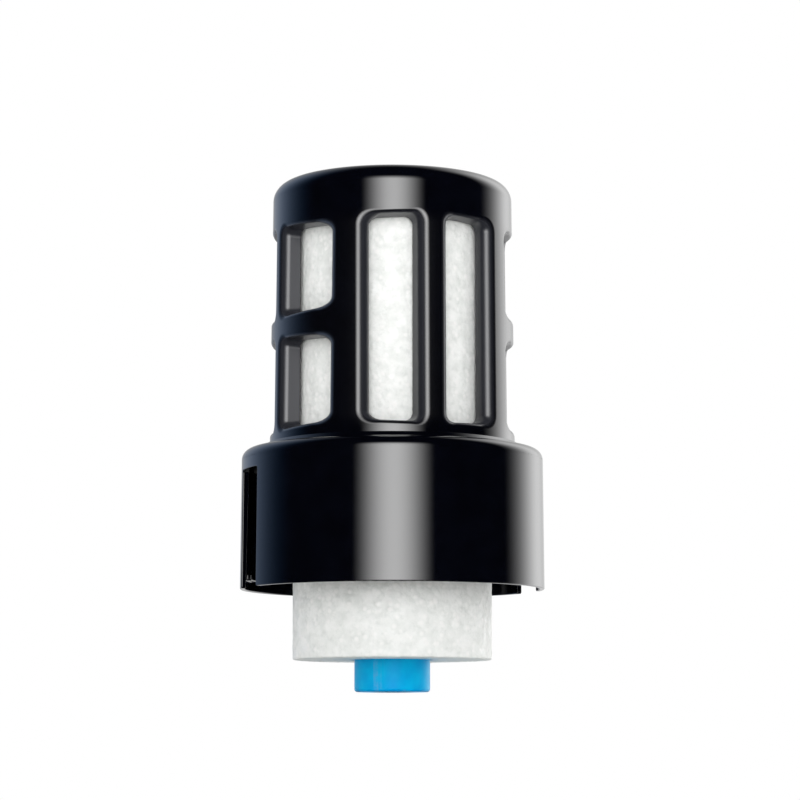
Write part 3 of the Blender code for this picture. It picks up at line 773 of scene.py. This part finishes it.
def rough_skin(rows, steps, relief):
    """A turned surface whose points are pushed in by the depth that relief gives at their place."""
    skin = Skin()
    angles = full_circle(steps)
    radius, height, out, up = (rows[:, i, None] for i in range(4))
    points, normals = around(radius, height, angles), around(out, up, angles)
    depth = np.array([relief(Vector(place)) for place in points.reshape(-1, 3)])
    points = points - unit(normals) * depth.reshape(points.shape[:2])[..., None]
    points, normals = np.concatenate([points, points[:1]]), np.concatenate([normals, normals[:1]])
    skin.strip(points, normals)
    return skin


def pores(place):
    """Depth below a porous face: rounded grains of two sizes with pits between them."""
    coarse, fine = (noise.noise(place * scale) for scale in PORE_SCALES)
    depth = PORE_LEVEL - PORE_WEIGHTS[0] * coarse - PORE_WEIGHTS[1] * fine
    return PORE_DEPTH * min(1.0, max(0.0, depth))


def carbon_grains(place):
    return CARBON_DEPTH * (1 + noise.noise(place * CARBON_SCALE))


def fleece_fibres(place):
    return FLEECE_DEPTH * (1 + noise.noise(place * FLEECE_SCALE))


def sleeve_skin():
    """A cup, open at its top, with a hole for the stub in its floor."""
    rows = rounded([
        (SLEEVE_BORE_RADIUS, SLEEVE_HIGH.z, SLEEVE_INNER_ROUND),
        (SLEEVE_HIGH.x, SLEEVE_HIGH.z, SLEEVE_TOP_ROUND),
        (SLEEVE_HIGH.x, SLEEVE_LOW.z, SLEEVE_FOOT_ROUND),
        (SLEEVE_HOLE_RADIUS, SLEEVE_LOW.z, SLEEVE_INNER_ROUND),
        (SLEEVE_HOLE_RADIUS, SLEEVE_FLOOR, SLEEVE_HOLE_EDGE),
        (SLEEVE_BORE_RADIUS, SLEEVE_FLOOR, SLEEVE_INNER_ROUND),
    ], closed=True)
    return rough_skin(refined(rows, SLEEVE_GRAIN), SLEEVE_STEPS, pores)


def block_skin():
    """A thick tube whose bore is wider at its foot, round the lower cap's socket."""
    rows = rounded([
        (BLOCK_INNER_RADIUS, BLOCK_HIGH.z, BLOCK_INNER_EDGE),
        (BLOCK_HIGH.x, BLOCK_HIGH.z, BLOCK_ROUND),
        (BLOCK_HIGH.x, BLOCK_LOW.z, BLOCK_ROUND),
        (BLOCK_COUNTERBORE_RADIUS, BLOCK_LOW.z, BLOCK_INNER_EDGE),
        (BLOCK_COUNTERBORE_RADIUS, BLOCK_COUNTERBORE_TOP, BLOCK_INNER_EDGE),
        (BLOCK_INNER_RADIUS, BLOCK_COUNTERBORE_TOP, BLOCK_INNER_EDGE),
    ], closed=True)
    return rough_skin(refined(rows, BLOCK_GRAIN), BLOCK_STEPS, carbon_grains)


def wrap_skin():
    """A thin tube of fleece, between the caps' rims."""
    rows = rounded([
        (WRAP_INNER_RADIUS, WRAP_HIGH.z, WRAP_INNER_EDGE),
        (WRAP_HIGH.x, WRAP_HIGH.z, WRAP_ROUND),
        (WRAP_HIGH.x, WRAP_LOW.z, WRAP_ROUND),
        (WRAP_INNER_RADIUS, WRAP_LOW.z, WRAP_INNER_EDGE),
    ], closed=True)
    return rough_skin(refined(rows, WRAP_GRAIN), WRAP_STEPS, fleece_fibres)


def node(tree, kind, inputs=None, **settings):
    """Adds a node. An input is a socket to link or a value."""
    made = tree.nodes.new(kind)
    for name, value in settings.items():
        setattr(made, name, value)
    for name, value in (inputs or {}).items():
        if isinstance(value, bpy.types.NodeSocket):
            tree.links.new(value, made.inputs[name])
        else:
            made.inputs[name].default_value = value
    return made


def noise_of(tree, place, scale, detail=3.0, roughness=0.5):
    return node(tree, "ShaderNodeTexNoise", {
        "Vector": place, "Scale": scale, "Detail": detail, "Roughness": roughness
    }).outputs[0]


def ranged(tree, value, low, high, start, end):
    """A value's range from low to high, mapped to start to end and held there."""
    return node(tree, "ShaderNodeMapRange", {
        "Value": value, "From Min": low, "From Max": high, "To Min": start, "To Max": end
    }).outputs["Result"]


def mixed(tree, factor, first, second):
    """A colour between two, each a socket or a plain colour."""
    made = node(tree, "ShaderNodeMix", {"Factor": factor}, data_type="RGBA")
    colours = [socket for socket in made.inputs if socket.type == "RGBA"]
    for socket, value in zip(colours, (first, second)):
        if isinstance(value, bpy.types.NodeSocket):
            tree.links.new(value, socket)
        else:
            socket.default_value = (*value, 1.0)
    return next(socket for socket in made.outputs if socket.type == "RGBA")


def maths(tree, operation, *values):
    """The result of a Math node on sockets or numbers."""
    made = tree.nodes.new("ShaderNodeMath")
    made.operation = operation
    for socket, value in zip(made.inputs, values):
        if isinstance(value, bpy.types.NodeSocket):
            tree.links.new(value, socket)
        else:
            socket.default_value = value
    return made.outputs[0]


def moulded(name, tint, shade, rough, grain, relief, worn, mottle=260.0, **constants):
    """Moulded plastic or rubber: a drifting tint, uneven gloss, a fine surface grain and rubbed edges."""
    material = bpy.data.materials.new(name)
    material.use_nodes = True
    tree = material.node_tree
    shader = tree.nodes["Principled BSDF"]
    place = node(tree, "ShaderNodeTexCoord").outputs["Object"]
    drift = ranged(tree, noise_of(tree, place, mottle, 4.0), *DRIFT_RANGE, 0.0, 1.0)
    colour = mixed(tree, drift, tint, shade)
    scuff = noise_of(tree, place, SCUFF_SCALE, 5.0, 0.65)
    point = node(tree, "ShaderNodeNewGeometry").outputs["Pointiness"]
    rubbed = maths(tree, "MULTIPLY", ranged(tree, point, *RUBBED_POINTINESS, 0.0, 1.0),
                   ranged(tree, scuff, *SCUFF_RANGE, 0.2, 1.0))
    colour = mixed(tree, rubbed, colour, worn)
    gloss = ranged(tree, scuff, *DRIFT_RANGE, *rough)
    gloss = maths(tree, "ADD", gloss, maths(tree, "MULTIPLY", rubbed, RUBBED_ROUGHNESS))
    bump = node(tree, "ShaderNodeBump", {
        "Height": noise_of(tree, place, grain, 3.0), "Strength": 1.0, "Distance": relief
    })
    tree.links.new(colour, shader.inputs["Base Color"])
    tree.links.new(gloss, shader.inputs["Roughness"])
    tree.links.new(bump.outputs[0], shader.inputs["Normal"])
    for socket, value in constants.items():
        shader.inputs[socket.replace("_", " ")].default_value = value
    return material


def satin_cuts(material):
    """Makes the bars, round edges and walls at the cage's windows duller than its polished ends, and paints
    a lighter sheen into the colour of the walls and round edges.
    """
    tree = material.node_tree
    shader = tree.nodes["Principled BSDF"]
    tint, roughness = shader.inputs["Base Color"], shader.inputs["Roughness"]
    place = node(tree, "ShaderNodeTexCoord").outputs["Object"]
    x, y, height = node(tree, "ShaderNodeSeparateXYZ", {"Vector": place}).outputs
    across = node(tree, "ShaderNodeCombineXYZ", {"X": x, "Y": y}).outputs[0]
    radius = node(tree, "ShaderNodeVectorMath", {0: across}, operation="LENGTH").outputs["Value"]
    slope = (CAGE_TOP_RADIUS - CAGE_BASE_RADIUS) / (CAGE_HIGH.z - CAGE_TOP_FILLET - COLLAR_HIGH.z)
    raised = maths(tree, "SUBTRACT", height, COLLAR_HIGH.z)
    face = maths(tree, "MULTIPLY_ADD", raised, slope, CAGE_BASE_RADIUS)
    sunk = ranged(tree, maths(tree, "SUBTRACT", face, radius), *CUT_DEPTH, 0.0, 1.0)
    cut = maths(tree, "MULTIPLY", sunk, maths(tree, "LESS_THAN", height, BAND_Z[1]))
    (low, full_low), (full_high, high) = LATTICE_Z
    lattice = maths(tree, "MULTIPLY", ranged(tree, height, low, full_low, 0.0, LATTICE_SHARE),
                    ranged(tree, height, full_high, high, 1.0, 0.0))
    share = maths(tree, "MAXIMUM", cut, lattice)
    gloss = roughness.links[0].from_socket
    satin = maths(tree, "SUBTRACT", CUT_ROUGHNESS, gloss)
    # Paints a lighter sheen into the colour of the walls and round edges, below the outer face.
    tree.links.new(mixed(tree, cut, tint.links[0].from_socket, CUT_PAINTED_SHEEN), tint)
    tree.links.new(maths(tree, "MULTIPLY_ADD", share, satin, gloss), roughness)
    return material


def granular(name, tints, grain, relief, rough, sheen=0.0, stretch=(1, 1, 1), scatter=0.0, crystal=None):
    """A grainy or fibrous body: drifts of dark, middle and light grains with pits between them. scatter
    is how much of the light sinks in, and crystal is the colour of scattered bright grains, if any."""
    material = bpy.data.materials.new(name)
    material.use_nodes = True
    tree = material.node_tree
    shader = tree.nodes["Principled BSDF"]
    dark, middle, light = tints
    place = node(tree, "ShaderNodeTexCoord").outputs["Object"]
    place = node(tree, "ShaderNodeMapping", {"Vector": place, "Scale": stretch}).outputs[0]
    cells = node(tree, "ShaderNodeTexVoronoi", {"Vector": place, "Scale": grain, "Randomness": 1.0})
    shade, pick, _ = node(tree, "ShaderNodeSeparateColor", {"Color": cells.outputs["Color"]}).outputs
    cloud = noise_of(tree, place, grain * CLOUD_SCALE, 4.0, 0.62)
    fleck = noise_of(tree, place, grain * FLECK_SCALE, 3.0, 0.6)
    colour = mixed(tree, ranged(tree, cloud, *CLOUD_RANGE, 0.0, 1.0), middle, light)
    flecked = maths(tree, "MULTIPLY", ranged(tree, fleck, *FLECK_RANGE, 0.0, 1.0), FLECK_SHARE)
    colour = mixed(tree, flecked, colour, dark)
    colour = mixed(tree, maths(tree, "MULTIPLY", shade, GRAIN_SHARE), colour, light)
    if crystal:
        bright = maths(tree, "MULTIPLY", ranged(tree, pick, *CRYSTAL_RANGE, 0.0, 1.0),
                       ranged(tree, cells.outputs["Distance"], *CRYSTAL_FADE, 1.0, 0.0))
        colour = mixed(tree, bright, colour, crystal)
    pits = maths(tree, "ADD", ranged(tree, cells.outputs["Distance"], *PIT_RANGE, 1.0, 0.0), fleck)
    bump = node(tree, "ShaderNodeBump", {"Height": pits, "Strength": 1.0, "Distance": relief})
    tree.links.new(colour, shader.inputs["Base Color"])
    tree.links.new(ranged(tree, shade, 0.0, 1.0, *rough), shader.inputs["Roughness"])
    tree.links.new(bump.outputs[0], shader.inputs["Normal"])
    shader.inputs["Sheen Weight"].default_value = sheen
    shader.inputs["Subsurface Weight"].default_value = scatter
    shader.inputs["Subsurface Radius"].default_value = (1.0, 1.0, 1.0)
    shader.inputs["Subsurface Scale"].default_value = SCATTER_DISTANCE
    return material


def piece(name, skin, material, body, replaced, exact=True):
    """Adds a skin as an object that stands for a CAD node and rides on its body."""
    made = bpy.data.objects.new(name, skin.mesh(name, exact))
    bpy.context.scene.collection.objects.link(made)
    made.data.materials.append(material)
    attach(made, body)
    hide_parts(replaced)


def gloss_black(name):
    return moulded(
        name, tint=(0.0006, 0.0007, 0.002), shade=(0.0012, 0.0015, 0.0036), worn=(0.008, 0.009, 0.012),
        rough=(0.05, 0.09), grain=420.0, relief=0.002 * MM,
    )


def seal_rubber():
    return moulded(
        "seal_rubber", tint=(0.018, 0.018, 0.018), shade=(0.03, 0.03, 0.03), worn=(0.06, 0.06, 0.06),
        rough=(0.45, 0.6), grain=1800.0, relief=0.01 * MM,
    )


def cap_white():
    return moulded(
        "cap_white", tint=(0.72, 0.73, 0.72), shade=(0.66, 0.67, 0.66), worn=(0.8, 0.8, 0.79),
        rough=(0.32, 0.45), grain=1200.0, relief=0.008 * MM,
    )


def core_natural():
    return moulded(
        "core_natural", tint=(0.66, 0.66, 0.63), shade=(0.58, 0.58, 0.55), worn=(0.75, 0.75, 0.72),
        rough=(0.4, 0.55), grain=1200.0, relief=0.01 * MM,
    )


def stub_blue():
    return moulded(
        "stub_blue", tint=(0.0, 0.42, 0.88), shade=(0.0, 0.58, 0.98), worn=(0.1, 0.5, 0.9),
        rough=(0.3, 0.42), grain=1500.0, relief=0.008 * MM, mottle=330.0, Specular_IOR_Level=0.08,
    )


def sleeve_porous():
    return granular(
        "sleeve_porous", tints=((0.66, 0.685, 0.66), (0.82, 0.84, 0.815), (0.95, 0.96, 0.94)),
        grain=1050.0, relief=0.09 * MM, rough=(0.35, 0.9), scatter=0.15, crystal=(0.97, 0.97, 0.95),
    )


def block_carbon():
    return granular(
        "block_carbon", tints=((0.008, 0.008, 0.008), (0.02, 0.02, 0.02), (0.045, 0.045, 0.045)),
        grain=1700.0, relief=0.06 * MM, rough=(0.5, 0.95),
    )


def wrap_fleece():
    return granular(
        "wrap_fleece", tints=((0.5, 0.5, 0.47), (0.72, 0.72, 0.69), (0.86, 0.86, 0.83)),
        grain=1600.0, relief=0.05 * MM, rough=(0.8, 1.0), sheen=0.3, stretch=(1, 1, 0.25),
    )


def add_housing(rubber):
    cage, collar = satin_cuts(gloss_black("cage_gloss_black")), gloss_black("gloss_black")
    piece("cage_shell", cage_skin(), cage, "housing", "cage")
    piece("collar_shell", collar_skin(), collar, "housing", "locking_collar")
    piece("gasket_ring", gasket_skin(), rubber, "housing", "collar_gasket")


def add_sleeve():
    piece("porous_sleeve", sleeve_skin(), sleeve_porous(), "sleeve", "prefilter_sleeve",
          exact=False)


def add_cartridge(rubber):
    white = cap_white()
    boss_ring, outlet_ring = seal_skin(GRIP_LOW, GRIP_HIGH), seal_skin(SEAL_LOW, SEAL_HIGH)
    body = "cartridge"
    piece("upper_cap", upper_cap_skin(), white, body, "upper_end_cap")
    piece("lower_cap", lower_cap_skin(), white, body, "lower_end_cap")
    piece("stub", stub_skin(), stub_blue(), body, "outlet_stub")
    piece("carbon_block", block_skin(), block_carbon(), body, "media_block", exact=False)
    piece("fleece_wrap", wrap_skin(), wrap_fleece(), body, "media_wrap", exact=False)
    piece("boss_ring", boss_ring, rubber, body, "boss_grip_ring")
    piece("outlet_ring", outlet_ring, rubber, body, "outlet_o_ring")
    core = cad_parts["core_tube"]
    core.data.materials.clear()
    core.data.materials.append(core_natural())


def softbox(tree, azimuth, elevation, middle, across, up):
    """How far a direction lies inside a soft-edged light, from 1 inside to 0 outside. across and up
    are (half size, half width of the soft edge). Degrees."""
    wrapped = maths(tree, "WRAP", maths(tree, "SUBTRACT", azimuth, middle[0]), 180.0, -180.0)
    raised = maths(tree, "SUBTRACT", elevation, middle[1])
    shares = []
    for distance, (half, edge) in ((wrapped, across), (raised, up)):
        made = node(tree, "ShaderNodeMapRange", {
            "Value": maths(tree, "ABSOLUTE", distance), "From Min": half - edge, "From Max": half + edge,
            "To Min": 1.0, "To Max": 0.0,
        }, interpolation_type="SMOOTHSTEP")
        shares.append(made.outputs["Result"])
    return maths(tree, "MULTIPLY", *shares)


def add_world():
    """The light as a world. Each softbox has one power for glossy rays and one for diffuse rays, and the
    camera sees plain white."""
    world = bpy.data.worlds.new("studio")
    bpy.context.scene.world = world
    world.use_nodes = True
    tree = world.node_tree
    tree.nodes.clear()
    way = node(tree, "ShaderNodeTexCoord").outputs["Generated"]
    way = node(tree, "ShaderNodeMapping", {"Vector": way, "Rotation": (0, 0, -CAMERA_AZIMUTH)}).outputs[0]
    x, y, z = node(tree, "ShaderNodeSeparateXYZ", {"Vector": way}).outputs
    azimuth = maths(tree, "DEGREES", maths(tree, "ARCTAN2", x, maths(tree, "MULTIPLY", y, -1.0)))
    elevation = maths(tree, "DEGREES", maths(tree, "ARCSINE", z))
    rays = node(tree, "ShaderNodeLightPath").outputs
    gloss, diffuse = (AMBIENT_GLOSS,) * 3, AMBIENT_DIFFUSE
    for middle, across, up, gloss_power, diffuse_power, tint in SOFTBOXES:
        share = softbox(tree, azimuth, elevation, middle, across, up)
        diffuse = maths(tree, "MULTIPLY_ADD", share, diffuse_power, diffuse)
        gloss = node(tree, "ShaderNodeVectorMath", {
            0: node(tree, "ShaderNodeCombineXYZ", {"X": share, "Y": share, "Z": share}).outputs[0],
            1: [gloss_power * part for part in tint], 2: gloss,
        }, operation="MULTIPLY_ADD").outputs["Vector"]
    power = mixed(tree, rays["Is Glossy Ray"], diffuse, gloss)
    seen = mixed(tree, rays["Is Camera Ray"], power, WHITE)
    background = node(tree, "ShaderNodeBackground", {"Color": seen})
    node(tree, "ShaderNodeOutputWorld", {"Surface": background.outputs[0]})


def add_floor():
    """A pale disc under the stub. It fades out at its edge, and is unseen from below and in gloss."""
    bpy.ops.mesh.primitive_circle_add(vertices=FLOOR_SIDES, radius=FLOOR_RADIUS, fill_type="NGON")
    floor = bpy.context.object
    floor.name = "studio_floor"
    floor.visible_glossy = False
    material = bpy.data.materials.new("studio_floor")
    material.use_nodes = True
    tree = material.node_tree
    shader = tree.nodes["Principled BSDF"]
    shader.inputs["Base Color"].default_value = FLOOR_COLOUR
    shader.inputs["Roughness"].default_value = FLOOR_ROUGHNESS
    place = node(tree, "ShaderNodeTexCoord").outputs["Object"]
    distance = node(tree, "ShaderNodeVectorMath", {0: place}, operation="LENGTH").outputs["Value"]
    fade = ranged(tree, distance, *FLOOR_FADE, 0.0, 1.0)
    behind = node(tree, "ShaderNodeNewGeometry").outputs["Backfacing"]
    clear = maths(tree, "MAXIMUM", fade, behind)
    blend = node(tree, "ShaderNodeMixShader", {
        0: clear, 1: shader.outputs[0], 2: node(tree, "ShaderNodeBsdfTransparent").outputs[0]
    })
    tree.links.new(blend.outputs[0], tree.nodes["Material Output"].inputs["Surface"])
    floor.data.materials.append(material)


def add_camera():
    data = bpy.data.cameras.new("camera")
    data.lens, data.sensor_width = CAMERA_LENS, CAMERA_SENSOR
    data.clip_start = CAMERA_CLIP_START
    camera = bpy.data.objects.new("camera", data)
    bpy.context.scene.collection.objects.link(camera)
    camera.location = (
        CAMERA_DISTANCE * sin(CAMERA_AZIMUTH), -CAMERA_DISTANCE * cos(CAMERA_AZIMUTH), CAMERA_HEIGHT
    )
    camera.rotation_euler = (pi / 2 + CAMERA_PITCH, 0.0, CAMERA_AZIMUTH - CAMERA_YAW)
    bpy.context.scene.camera = camera


add_camera()
add_world()
add_floor()
rubber = seal_rubber()
add_housing(rubber)
add_sleeve()
add_cartridge(rubber)
bpy.context.scene.view_settings.view_transform = "Standard"
